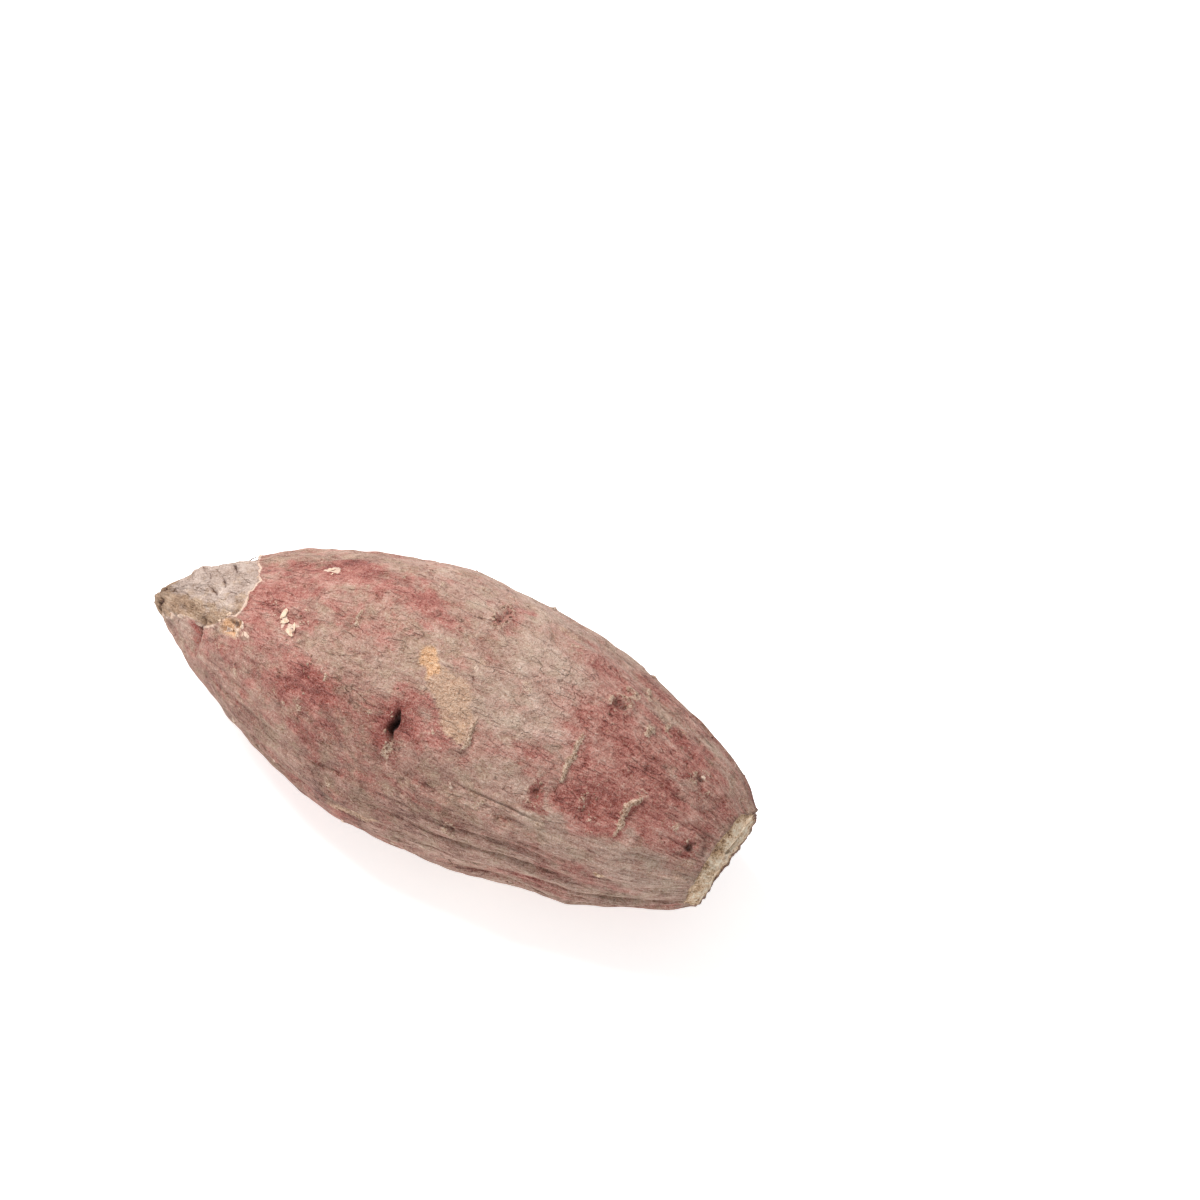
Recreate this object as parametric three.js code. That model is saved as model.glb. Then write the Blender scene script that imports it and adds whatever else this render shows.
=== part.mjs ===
// A sweet potato: one swollen storage root, pointed at the crown, where the vine was broken off, and cut
// across at the tail, where the root went on. It is a single solid piece.
//
// Millimetres, +Z up. +X runs along the root from the crown to the cut tail. The origin is on the surface
// that the root lies on, under the centre of its bounding box.
import * as THREE from "three";

// Driving sizes of the root.
const LENGTH = 154; // crown tip to cut tail
const WIDTH = 66; // across the belly
const HEIGHT = 62; // belly to back, before the underside is flattened
const BELLY_AT = 0.5; // the thickest place, as a share of the length
const TIP_GIRTH = 0.07; // the broken crown tip, as a share of the belly's girth
const TIP_DOME = 0.8; // how far the broken tip stands out of its rim
const CROWN_FULLNESS = 0.85; // a lower power fills the crown end out
const TAIL_TAPER = 0.55; // how much of its girth the root has lost at the tail
const TAIL_FULLNESS = 2.3; // a higher power keeps the tail end stout for longer
const CUT_SHRINK = 0.075; // how much more the skin has drawn in at the very edge of the cut
const SHRINK_REACH = 24; // a higher power keeps that closer to the edge
const CUT_LEAN = THREE.MathUtils.degToRad(12); // the cut face looks this far down
const CUT_SWING = THREE.MathUtils.degToRad(3); // and this far to the -Y side
const LEAN_FROM = 0.75; // the rings start to lean into the cut's plane here, as a share of the length
const CUT_DISH = 0.4; // how far the cut flesh has shrunk in at its middle
const REST_DEPTH = 0.7; // how much of the belly is pressed flat where it rests

// The root's middle line: how far along (share of LENGTH), and where it lies, sideways and above the lowest
// point of the belly (millimetres). It droops at both ends and bows a little to one side.
const MIDDLE = [
  { along: 0, sideways: -1, height: 27 },
  { along: 0.1, sideways: -0.5, height: 29 },
  { along: 0.3, sideways: 0, height: 30.5 },
  { along: 0.6, sideways: 0.5, height: 31 },
  { along: 0.85, sideways: 0, height: 28 },
  { along: 1, sideways: -1, height: 26 },
];

// Long low ridges round the girth: how many, how high (share of the radius), where the first one lies, and
// how far the set turns from crown to tail.
const RIDGES = [
  { count: 2, rise: 0.012, from: 0.6, turn: 0.9 },
  { count: 3, rise: 0.02, from: 1.9, turn: -0.7 },
  { count: 5, rise: 0.008, from: 0.3, turn: 1.4 },
];
// Slow swells along the length: how many, how deep (share of the radius), and which side feels them most.
const SWELLS = [
  { waves: 2.5, depth: 0.01, phase: 0.8, side: 0.4 },
  { waves: 4.5, depth: 0.008, phase: 2.6, side: 3.9 },
];

const RINGS = 76;
const RING_BUNCHING = 0.45; // how much closer together the rings are towards both ends
const SEGMENTS = 48;
const TURN = 2 * Math.PI;

const middleLine = new THREE.CatmullRomCurve3(
  MIDDLE.map((m) => new THREE.Vector3(m.along * LENGTH, m.sideways, m.height)),
  false,
  "catmullrom",
);

// How stout the root is at a place along it, as a share of the belly's girth.
function girthAt(share) {
  if (share < BELLY_AT) {
    const rise = Math.sin((TURN / 4) * (share / BELLY_AT)) ** CROWN_FULLNESS;
    return TIP_GIRTH + (1 - TIP_GIRTH) * rise;
  }
  const toTail = (share - BELLY_AT) / (1 - BELLY_AT);
  return 1 - TAIL_TAPER * toTail ** TAIL_FULLNESS - CUT_SHRINK * toTail ** SHRINK_REACH;
}

// How far the skin stands from a plain oval, as a share of its radius.
function lumpiness(share, angle) {
  let rise = 0;
  for (const ridge of RIDGES) {
    rise += ridge.rise * Math.cos(ridge.count * (angle - ridge.from - ridge.turn * share));
  }
  for (const swell of SWELLS) {
    const side = 0.5 + 0.5 * Math.cos(angle - swell.side);
    rise += swell.depth * side * Math.sin(TURN * swell.waves * share + swell.phase);
  }
  return rise;
}

// A point of the skin. place runs along the middle line from 0 to 1, and angle round the girth from +Y
// towards +Z.
function skinPoint(place, angle) {
  const middle = middleLine.getPoint(place);
  const share = THREE.MathUtils.clamp(middle.x / LENGTH, 0, 1);
  const radius = girthAt(share) * (1 + lumpiness(share, angle));
  const across = (WIDTH / 2) * radius * Math.cos(angle);
  const up = (HEIGHT / 2) * radius * Math.sin(angle);
  // The rings lean over into the plane of the cut as they near the tail.
  const lean = THREE.MathUtils.smoothstep(share, LEAN_FROM, 1);
  const forward = lean * (up * Math.tan(CUT_LEAN) + across * Math.tan(CUT_SWING));
  return new THREE.Vector3(middle.x + forward, middle.y + across, middle.z + up);
}

// Where each ring lies on the middle line. The shape turns fastest at both ends, so they are closer there.
function ringPlace(ring) {
  const even = ring / (RINGS - 1);
  return even - (RING_BUNCHING * Math.sin(TURN * even)) / TURN;
}

// One closed surface: rings of skin points, joined by strips, with a middle point closing each end.
function rootGeometry() {
  const points = [];
  for (let ring = 0; ring < RINGS; ring++) {
    for (let step = 0; step < SEGMENTS; step++) {
      points.push(skinPoint(ringPlace(ring), (TURN * step) / SEGMENTS));
    }
  }
  const crownTip = points.length;
  points.push(middleLine.getPoint(0).add(new THREE.Vector3(-TIP_DOME, 0, 0)));
  const cutMiddle = points.length;
  points.push(middleLine.getPoint(1).add(new THREE.Vector3(-CUT_DISH, 0, 0)));

  // The belly is pressed flat where it rests.
  const lowest = Math.min(...points.map((point) => point.z));
  for (const point of points) {
    point.z = Math.max(point.z - lowest - REST_DEPTH, 0);
  }

  const faces = [];
  const corner = (ring, step) => ring * SEGMENTS + (step % SEGMENTS);
  for (let step = 0; step < SEGMENTS; step++) {
    for (let ring = 0; ring < RINGS - 1; ring++) {
      const near = [corner(ring, step), corner(ring, step + 1)];
      const far = [corner(ring + 1, step), corner(ring + 1, step + 1)];
      faces.push(near[0], near[1], far[1], near[0], far[1], far[0]);
    }
    faces.push(crownTip, corner(0, step + 1), corner(0, step));
    faces.push(cutMiddle, corner(RINGS - 1, step), corner(RINGS - 1, step + 1));
  }

  const geometry = new THREE.BufferGeometry().setFromPoints(points);
  geometry.setIndex(faces);
  geometry.computeVertexNormals();
  return geometry;
}

const skin = new THREE.MeshStandardMaterial({ color: 0xa88078, roughness: 0.85, metalness: 0 });
const sweetPotato = new THREE.Mesh(rootGeometry(), skin);
sweetPotato.name = "sweet_potato";

// The origin goes under the centre of the bounding box.
const box = new THREE.Box3().setFromObject(sweetPotato);
const centre = box.getCenter(new THREE.Vector3());
sweetPotato.position.set(-centre.x, -centre.y, -box.min.z);

const part = new THREE.Group();
part.add(sweetPotato);
export default part;
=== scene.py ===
# A whole sweet potato lying on its side: one swollen root with a torn corky crown and a dry cut tail.
# Metres, +Z up. +X runs from the crown to the cut tail, and -Y is the front.
import math
import bpy
import numpy as np
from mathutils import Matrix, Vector
from mathutils.bvhtree import BVHTree


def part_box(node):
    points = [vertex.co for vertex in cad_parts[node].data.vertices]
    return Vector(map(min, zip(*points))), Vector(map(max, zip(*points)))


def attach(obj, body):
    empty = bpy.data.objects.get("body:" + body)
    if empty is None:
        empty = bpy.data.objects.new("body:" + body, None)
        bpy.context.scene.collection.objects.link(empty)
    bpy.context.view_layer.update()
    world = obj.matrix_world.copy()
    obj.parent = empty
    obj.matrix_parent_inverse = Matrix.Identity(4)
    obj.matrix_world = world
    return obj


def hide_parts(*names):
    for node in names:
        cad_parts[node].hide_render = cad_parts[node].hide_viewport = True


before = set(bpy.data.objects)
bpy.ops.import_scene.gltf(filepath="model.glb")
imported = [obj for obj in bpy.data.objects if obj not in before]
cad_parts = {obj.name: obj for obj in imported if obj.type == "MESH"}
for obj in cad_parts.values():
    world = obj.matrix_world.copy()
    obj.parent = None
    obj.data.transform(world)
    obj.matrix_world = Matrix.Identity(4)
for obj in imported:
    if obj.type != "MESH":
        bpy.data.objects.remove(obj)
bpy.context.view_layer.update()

# ------------------------------------------------------------------------------
# The root's body. One solid piece, grown in the ground: thickest at its middle, drawn in to a point at the
# crown, where it hung on the vine, and cut across at the tail. Everything below is laid out on its skin by
# how far along it lies from the crown, in millimetres, and how far round, in radians from the back's middle
# line towards the front.
# ------------------------------------------------------------------------------
MM = 0.001
LENGTH = 154.0  # crown tip to cut tail
TIP_DOME = 0.8  # the broken crown tip stands this far out of its rim
CUT_LEAN = math.radians(12)  # the cut face looks this far down
CUT_SWING = math.radians(3)  # and this far to the front
BELLY_RADIUS = 31.0  # at the thickest place
TURN = 2 * math.pi

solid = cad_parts["sweet_potato"]
form = BVHTree.FromPolygons([v.co for v in solid.data.vertices], [p.vertices for p in solid.data.polygons])
crown_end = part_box("sweet_potato")[0].x
TIP_X = crown_end / MM + TIP_DOME

ROW_STEP = 1.0  # the form is felt out once a millimetre along
ROWS = int(LENGTH / ROW_STEP) + 1
FEELERS = 120  # and this often round
WAVES = 9  # the finest lump round the girth that is kept
END_ROWS = 2  # rows too near the hollow cut face to feel, carried on from the rows before them


def ease(start, end, value):
    share = np.clip((value - start) / (end - start), 0.0, 1.0)
    return share * share * (3 - 2 * share)


def lean_at(along):
    return ease(0.75, 1.0, along / LENGTH)


def across_lean(turn):
    """How far forward a ring's plane runs for each millimetre out from the middle."""
    return np.cos(turn) * math.tan(CUT_LEAN) - np.sin(turn) * math.tan(CUT_SWING)


def feel_ring(along, middle):
    """Skin distances from a middle point, all the way round."""
    lean = float(lean_at(along))
    found = []
    for turn in np.arange(FEELERS) * TURN / FEELERS:
        way = Vector((lean * float(across_lean(turn)), -math.sin(turn), math.cos(turn)))
        start = Vector(((TIP_X + along) * MM, middle[0] * MM, middle[1] * MM))
        hit = form.ray_cast(start, way)[0]
        found.append(math.hypot(hit.y - start.y, hit.z - start.z) / MM)
    return np.array(found)


def feel_form():
    """The middle line and the skin's distance from it, as waves round the girth."""
    middles, distances = np.zeros((ROWS, 2)), np.zeros((ROWS, FEELERS))
    turns = np.arange(FEELERS) * TURN / FEELERS
    half = ROWS // 2
    for rows in (range(half, ROWS), range(half - 1, -1, -1)):
        middle = np.array([0.0, 30.0]) if rows[0] == half else middles[half]
        for row in rows:
            if row >= ROWS - END_ROWS:
                middles[row] = 2 * middles[row - 1] - middles[row - 2]
                distances[row] = 2 * distances[row - 1] - distances[row - 2]
                continue
            along = row * ROW_STEP
            for _ in range(3):
                felt = feel_ring(along, middle)
                middle = middle + [-(felt * np.sin(turns)).mean(), (felt * np.cos(turns)).mean()]
            middles[row], distances[row] = middle, feel_ring(along, middle)
    waves = np.fft.rfft(distances, axis=1)[:, :WAVES + 1] / FEELERS
    return np.concatenate([middles, waves.real, waves.imag], axis=1)


def smooth_rows(table, width):
    """Evens out a table along the root, keeping its slope at both ends."""
    reach = int(4 * width)
    head = 2 * table[:1] - table[reach:0:-1]
    foot = 2 * table[-1:] - table[-2:-reach - 2:-1]
    padded = np.concatenate([head, table, foot])
    weight = np.exp(-0.5 * (np.arange(-reach, reach + 1) / width) ** 2)
    weight /= weight.sum()
    return sum(w * padded[i:i + len(table)] for i, w in enumerate(weight))


FORM_EVENED = 1.6  # rows
form_table = smooth_rows(feel_form(), FORM_EVENED)


def form_at(along):
    """The form table at any places along, on a smooth curve through its rows."""
    x = np.clip(along / ROW_STEP, 0.0, ROWS - 1.0)
    row = np.clip(x.astype(int), 1, ROWS - 3)
    f = (x - row)[:, None]
    a, b, c, d = (form_table[row + k] for k in (-1, 0, 1, 2))
    return b + 0.5 * f * (c - a + f * (2 * a - 5 * b + 4 * c - d + f * (3 * (b - c) + d - a)))


def skin_at(along, turn):
    """Points of the bare form, in millimetres."""
    row = form_at(along)
    wave = np.arange(WAVES + 1)
    real, imag = row[:, 2:3 + WAVES], row[:, 3 + WAVES:]
    share = np.where(wave == 0, 1.0, 2.0)
    angle = turn[:, None] * wave
    radius = (share * (real * np.cos(angle) - imag * np.sin(angle))).sum(axis=1)
    forward = lean_at(along) * across_lean(turn) * radius
    x = TIP_X + along + forward
    return np.stack([x, row[:, 0] - np.sin(turn) * radius, row[:, 1] + np.cos(turn) * radius], axis=1)


# The mesh is a net of rings, closer together where the skin is busy. The belly, which is out of sight, has
# wider meshes, and the rings thin out to half and a quarter of the strands where the root is slender.
STRANDS_UP = 340
STRANDS_BELLY = 44
BELLY_FROM = math.radians(140)
FINE_RINGS = [(0, 34), (76, 85), (94, 100), (115, 121), (126, 136), (146, 154)]
FINE_GAP, PLAIN_GAP = 0.45, 0.8

strand_turns = np.concatenate([
    np.linspace(-BELLY_FROM, BELLY_FROM, STRANDS_UP, endpoint=False),
    np.linspace(BELLY_FROM, TURN - BELLY_FROM, STRANDS_BELLY, endpoint=False),
])


def ring_places():
    places, at = [], 0.0
    while at < LENGTH - 0.2:
        places.append(at)
        fine = any(start <= at <= end for start, end in FINE_RINGS)
        at += FINE_GAP if fine else PLAIN_GAP
    return places + [LENGTH]


# Each ring: how far along, how far in towards the middle of an end face, and how many strands it skips.
TIP_RINGS = [0.25, 0.5, 0.75, 0.9]
CUT_RINGS = [(0.02, 1), (0.05, 2), (0.09, 2), (0.14, 2), (0.2, 2), (0.27, 2), (0.34, 2), (0.41, 4), (0.48, 4),
             (0.55, 4), (0.62, 4), (0.7, 8), (0.78, 8), (0.86, 8), (0.94, 8)]
rings = [(0.0, -inward, 4) for inward in reversed(TIP_RINGS)]
for place in ring_places():
    rings.append((place, 0.0, 4 if place < 6 else 2 if place < 20 else 1))
rings += [(LENGTH, inward, skip) for inward, skip in CUT_RINGS]

ring_starts, along, turn, inward = [], [], [], []
for place, end_share, skip in rings:
    ring_starts.append(sum(map(len, turn)))
    strands = strand_turns[::skip]
    turn.append(strands)
    along.append(np.full(len(strands), place))
    inward.append(np.full(len(strands), end_share))
tip_point, cut_point = sum(map(len, turn)), sum(map(len, turn)) + 1
turn = np.concatenate(turn + [[0.0, 0.0]])
along = np.concatenate(along + [[0.0, LENGTH]])
inward = np.concatenate(inward + [[-1.0, 1.0]])
turn = (turn + math.pi) % TURN - math.pi
degrees = np.degrees(turn)

faces = []
for ring in range(len(rings) - 1):
    skip_a, skip_b = rings[ring][2], rings[ring + 1][2]
    a, b = ring_starts[ring], ring_starts[ring + 1]
    count_a, count_b = len(strand_turns[::skip_a]), len(strand_turns[::skip_b])
    if count_a == count_b:
        for i in range(count_a):
            j = (i + 1) % count_a
            faces.append((a + i, a + j, b + j, b + i))
    elif count_a < count_b:
        for i in range(count_a):
            j, p, q, r = (i + 1) % count_a, 2 * i, 2 * i + 1, (2 * i + 2) % count_b
            faces += [(a + i, b + q, b + p), (a + i, a + j, b + q), (a + j, b + r, b + q)]
    else:
        for i in range(count_b):
            j, p, q, r = (i + 1) % count_b, 2 * i, 2 * i + 1, (2 * i + 2) % count_a
            faces += [(a + p, a + q, b + i), (a + q, b + j, b + i), (a + q, a + r, b + j)]
first, last = len(strand_turns[::rings[0][2]]), len(strand_turns[::rings[-1][2]])
faces += [(tip_point, ring_starts[0] + (i + 1) % first, ring_starts[0] + i) for i in range(first)]
faces += [(cut_point, ring_starts[-1] + i, ring_starts[-1] + (i + 1) % last) for i in range(last)]

# The bare form under every point of the net, and the way that the skin faces there.
FEEL = 0.4
bare = skin_at(along, turn)
run_way = skin_at(np.minimum(along + FEEL, LENGTH), turn) - skin_at(np.maximum(along - FEEL, 0.0), turn)
round_way = skin_at(along, turn + 0.02) - skin_at(along, turn - 0.02)
facing = np.cross(round_way, run_way)
facing /= np.linalg.norm(facing, axis=1)[:, None]
cut_facing = np.array([1.0, -math.tan(CUT_SWING), -math.tan(CUT_LEAN)])
cut_facing /= np.linalg.norm(cut_facing)
end_share = np.abs(inward)
end_facing = np.where((inward > 0)[:, None], cut_facing, np.array([-1.0, 0.0, 0.0]))
end_row = form_at(along)
end_middle = np.stack([TIP_X + along, end_row[:, 0], end_row[:, 1]], axis=1)
bare = bare + end_share[:, None] * (end_middle - bare)
bare += np.where(inward < 0, TIP_DOME * (1 - (1 - end_share) ** 2), 0.0)[:, None] * end_facing
turned_in = ease(0.0, 0.25, end_share)[:, None]
facing = facing * (1 - turned_in) + end_facing * turned_in
facing /= np.linalg.norm(facing, axis=1)[:, None]
radius = np.hypot(bare[:, 1] - end_middle[:, 1], bare[:, 2] - end_middle[:, 2])

# Uneven growth. Each field is one smooth random quantity over the whole skin, joined up round the girth.
FIELD_GAP = 0.4
FIELD_ROWS = 400
FIELD_COLUMNS = 512


def growth(seed, run, girth):
    """An uneven quantity, spread 1 about 0, that changes over run mm along and girth mm round the belly."""
    white = np.random.default_rng(seed).standard_normal((FIELD_ROWS, FIELD_COLUMNS))
    step = TURN * BELLY_RADIUS / FIELD_COLUMNS
    pace_run = np.fft.fftfreq(FIELD_ROWS, FIELD_GAP)[:, None] * run
    pace_girth = np.fft.rfftfreq(FIELD_COLUMNS, step)[None, :] * girth
    kept = np.exp(-2 * math.pi ** 2 * (pace_run ** 2 + pace_girth ** 2))
    field = np.fft.irfft2(np.fft.rfft2(white) * kept, s=white.shape)
    field = (field - field.mean()) / field.std()
    x = along / FIELD_GAP
    y = turn / TURN % 1.0 * FIELD_COLUMNS
    i, j = x.astype(int), y.astype(int)
    f, g = x - i, y - j
    i2, j, j2 = (i + 1) % FIELD_ROWS, j % FIELD_COLUMNS, (j + 1) % FIELD_COLUMNS
    near = field[i, j] * (1 - g) + field[i, j2] * g
    far = field[i2, j] * (1 - g) + field[i2, j2] * g
    return near * (1 - f) + far * f


# What the skin is like at each point, from 0 to 1, and where shade is painted on it. Its material reads
# these.
QUALITIES = ("blush", "scarlet", "cork", "crown", "raw", "torn", "dark", "flesh", "crease_shade", "drawn",
             "dust", "umber_and_shade")
skin = {name: np.zeros(len(turn)) for name in QUALITIES}


def stain(name, amount):
    """Adds to one of the skin's qualities, keeping what is there where it is stronger."""
    skin[name] = np.maximum(skin[name], amount)


lift = 0.32 * growth(11, 9.0, 8.0) + 0.21 * growth(12, 3.4, 2.2) + 0.11 * growth(13, 1.3, 0.8)

# Lengthwise creases, where the root has dried and shrunk. They are deep towards the cut on the front and low
# down, and faint over the back and at the crown.
crease_zone = np.clip(
    0.2
    + 0.85 * ease(72, 112, along) * ease(44, 72, degrees) * (1 - ease(150, 175, degrees))
    + 0.3 * ease(15, 40, along) * ease(66, 90, degrees) * (1 - ease(150, 175, degrees))
    + 0.35 * ease(132, 150, along) * ease(0, 30, degrees)
    + 0.6 * ease(80, 105, along) * ease(-24, -42, degrees) * (1 - ease(-150, -175, degrees))
    + 0.4 * ease(20, 60, along) * ease(-45, -80, degrees) * (1 - ease(-150, -175, degrees)), 0, 1)
# A crease is a sharp valley between two rounded ridges: it lies where an uneven quantity passes through 0.
valleys = np.exp(-np.abs(growth(21, 14.0, 1.15)) / 0.36) * ease(-1.0, 0.5, growth(23, 12.0, 4.5))
long_valleys = np.exp(-np.abs(growth(22, 26.0, 2.1)) / 0.28) * ease(-0.8, 0.5, growth(24, 16.0, 6.0))
skin["drawn"] = crease_zone
# The valleys are also painted darker in the material: painted shade in the creases.
skin["crease_shade"] = np.clip(crease_zone * (0.7 * valleys ** 1.5 + 0.9 * long_valleys ** 1.5), 0, 1)
crease_depth = crease_zone * (1 + 0.4 * ease(88, 116, along)) * (1 - 0.8 * ease(148, 152.5, along))
lift -= crease_depth * (valleys + 1.2 * long_valleys - 0.45)
lift += 0.25 * crease_depth * growth(25, 9.0, 1.6)

# Marks on the skin. A mark is laid out from its own middle, with its long way across the root, and its
# outline wanders a little.
wander = growth(31, 1.1, 1.1), growth(32, 1.1, 1.1)
arc = np.maximum(radius, 1.0)


def from_middle(place, degree, slant=0.0, wobble=0.3):
    """Millimetres from a mark's middle: along its own length, and across it."""
    off_run = along - place
    off_round = arc * ((turn - math.radians(degree) + math.pi) % TURN - math.pi)
    c, s = math.cos(math.radians(slant)), math.sin(math.radians(slant))
    return (c * off_round + s * off_run + wobble * wander[0],
            -s * off_round + c * off_run + wobble * wander[1])


def patch(offsets, half_length, half_width, soft=0.35):
    """1 inside an oval, falling to 0 over its soft border."""
    out = np.hypot(offsets[0] / half_length, offsets[1] / half_width)
    return 1 - ease(1 - soft, 1 + soft, out)


# Blushes, where the pink-red of the skin shows through the dust: place, degrees, size round and along,
# slant, strength.
BLUSHES = [
    (42, -2, 14, 16, 0, 0.46), (62, 0, 10, 16, 0, 0.25), (46, 40, 12, 20, 0, 0.58),
    (30, 30, 9, 11, 0, 0.45), (70, 62, 9, 14, 0, 0.38), (33, 48, 8, 12, 0, 0.4),
    (50, -16, 5, 14, 0, 0.9), (66, -9, 4, 15, -6, 0.8), (40, -4, 4, 8, 0, 0.55),
    (54, 46, 6, 10, 15, 0.9), (60, 60, 6, 12, 0, 0.62), (45, 30, 6, 9, 0, 0.5), (82, 43, 6, 5, 0, 0.9),
    (77, 50, 7, 6, 0, 0.6), (96, 38, 5, 9, 20, 0.35), (112, 22, 9, 12, 0, 0.5),
    (122, 8, 9, 10, 0, 1.15), (130, 20, 10, 12, 0, 1.25), (127, 42, 6, 8, 0, 1.25),
    (137, -12, 8, 11, 0, 0.75), (145, 6, 9, 8, 0, 0.72), (144, 38, 6, 7, 0, 0.7),
    (136, 30, 7, 8, 0, 1.05), (117, -18, 7, 7, 0, 0.5), (90, -24, 8, 4, 0, 0.5), (24, 62, 6, 7, 0, 0.3),
    (70, 100, 7, 18, 0, 0.25), (120, 88, 8, 18, 0, 0.3), (60, -80, 13, 17, 0, 0.6),
    (104, -95, 14, 16, 0, 0.65), (130, -75, 10, 12, 0, 0.5), (84, -130, 13, 18, 0, 0.45),
    (48, 150, 13, 15, 0, 0.5), (115, 165, 13, 16, 0, 0.5), (30, -100, 8, 9, 0, 0.4),
    (120, -40, 6, 16, 0, 0.35), (148, -60, 7, 6, 0, 0.5), (140, 120, 8, 10, 0, 0.5),
]
for place, degree, size_round, size_along, slant, strength in BLUSHES:
    stain("blush", strength * patch(from_middle(place, degree, slant, 1.2), size_round, size_along, 0.75))
uneven_blush = 0.02 + 0.95 * skin["blush"] + 0.13 * growth(33, 7.0, 3.0) + 0.08 * growth(34, 2.2, 1.0)
skin["blush"] = np.clip(uneven_blush, 0, 1)
# The lower front and the tail end are a darker, browner mauve, and the lower back a little darker. On the
# lower sides this is partly painted shade, darker where less light falls.
skin["umber_and_shade"] = np.clip(0.6 * ease(22, 60, degrees) * ease(18, 44, along) * (1 - 0.8 * ease(78, 100, along))
                        + 0.25 * ease(-50, -110, degrees) + 0.15 * growth(38, 9.0, 7.0)
                        + 0.5 * ease(104, 128, along) * (1 - 0.85 * ease(40, 66, degrees)), 0, 1)

# Eyes: small dents where a fine root grew out, browner and redder than the skin, most with a low lump beside
# them. Place, degrees, length, width, slant, depth, how dark, and the lump's height.
EYES = [
    (122, -11, 1.5, 1.2, 0, 0.9, 0.75, 0.5), (122, -20, 1.9, 1.0, 0, 0.25, 0.35, 0.55),
    (122, -4, 1.2, 0.9, 0, 0.3, 0.4, 0.45), (89, -20, 3.4, 1.1, 10, 0.75, 1.0, 0.5),
    (65, -28, 2.4, 1.6, 0, 0.35, 0.45, 0.25), (42, -26, 1.5, 1.2, 0, 0.35, 0.45, 0.3),
    (134, -20, 1.5, 1.2, 0, 0.55, 0.8, 0.45), (142, -6, 1.6, 1.3, 0, 0.6, 0.8, 0.45),
    (115, 47, 1.6, 0.9, -10, 0.8, 1.3, 0.2), (126, 40, 1.3, 1.0, 0, 0.4, 0.8, 0.3),
    (126, 50, 2.4, 0.9, 30, 0.35, 0.55, 0.3), (107, -25, 1.0, 0.9, 0, 0.3, 0.3, 0.2),
    (147, 38, 1.6, 1.0, 0, 0.6, 0.8, 0.2), (55, 44, 3.6, 0.5, 8, 0.45, 0.55, 0.15),
    (48, 18, 1.0, 0.8, 0, 0.35, 0.4, 0.25), (53, 12, 0.9, 0.7, 0, 0.25, 0.4, 0.15),
    (42, 20, 1.0, 0.9, 0, 0.3, 0.45, 0.2), (46, 34, 1.1, 0.5, 0, 0.2, 0.4, 0.1),
    (71, 24, 1.0, 0.6, 0, 0.2, 0.35, 0.1), (92, 8, 1.3, 0.5, 0, 0.15, 0.3, 0.15),
    (99, 80, 1.6, 0.7, 75, 0.5, 0.55, 0.3), (76, 32, 1.4, 0.7, 10, 0.2, 0.35, 0.1),
    (38, -90, 2.0, 1.1, 0, 0.5, 0.6, 0.4), (72, -74, 3.0, 1.2, -8, 0.7, 0.7, 0.4),
    (98, -118, 2.3, 1.3, 5, 0.5, 0.55, 0.45), (119, -62, 2.0, 1.2, 0, 0.5, 0.6, 0.35),
    (58, -128, 2.6, 1.1, 0, 0.5, 0.55, 0.3), (136, -100, 1.8, 1.2, 0, 0.45, 0.6, 0.4),
    (86, 140, 2.2, 1.2, 0, 0.4, 0.5, 0.3), (52, 120, 1.8, 0.9, 0, 0.4, 0.5, 0.3),
    (112, 118, 2.0, 1.0, 0, 0.4, 0.5, 0.3),
]
lumps = ease(-1.0, 1.0, growth(35, 0.8, 0.8))
for place, degree, half_length, half_width, slant, depth, shade, lump in EYES:
    offsets = from_middle(place, degree, slant)
    dent = patch(offsets, half_length, half_width, 0.5)
    rim = patch(offsets, half_length + 1.1, half_width + 1.0, 0.5) - dent
    core = patch(offsets, 0.55 * half_length, 0.55 * half_width, 0.6)
    lift += 1.5 * lump * rim * lumps - depth * (0.45 * dent + 0.6 * core)
    # The dent is painted darker, most at its core: painted shade in the hole.
    stain("dark", shade * np.maximum(0.32 * dent, 0.85 * core) * (0.55 + 0.6 * lumps))
    stain("cork", min(1.8 * lump, 0.75) * rim * ease(0.3, 0.9, lumps))
    flushed = patch(from_middle(place, degree, slant, 1.3), half_length + 1.4, half_width + 1.0, 0.9)
    stain("scarlet", 0.72 * shade * flushed)

# The pit: a deep slot across the front of the belly, where a thick side root rotted out. Its walls are
# crumbled and painted black, dark rot with painted shade deep in the slot, and its mouth is flushed red.
pit = from_middle(80, 48, 4, 0.36)
pit_mouth = patch(pit, 3.7, 0.72, 0.5)
pit_lip = patch(pit, 4.6, 2.4, 0.6)
lift += 0.35 * pit_lip - 3.0 * pit_mouth * (0.75 + 0.35 * growth(36, 0.6, 0.6))
stain("dark", 0.95 * patch(pit, 3.8, 0.85, 0.5))
stain("scarlet", 0.62 * patch(pit, 6.5, 3.2, 0.9))
pit_tail = from_middle(80, 59, -8, 0.5)
stain("cork", 0.55 * patch(pit_tail, 3.2, 1.1, 0.6))
lift -= 0.25 * patch(pit_tail, 3.2, 0.8, 0.6)

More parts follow.
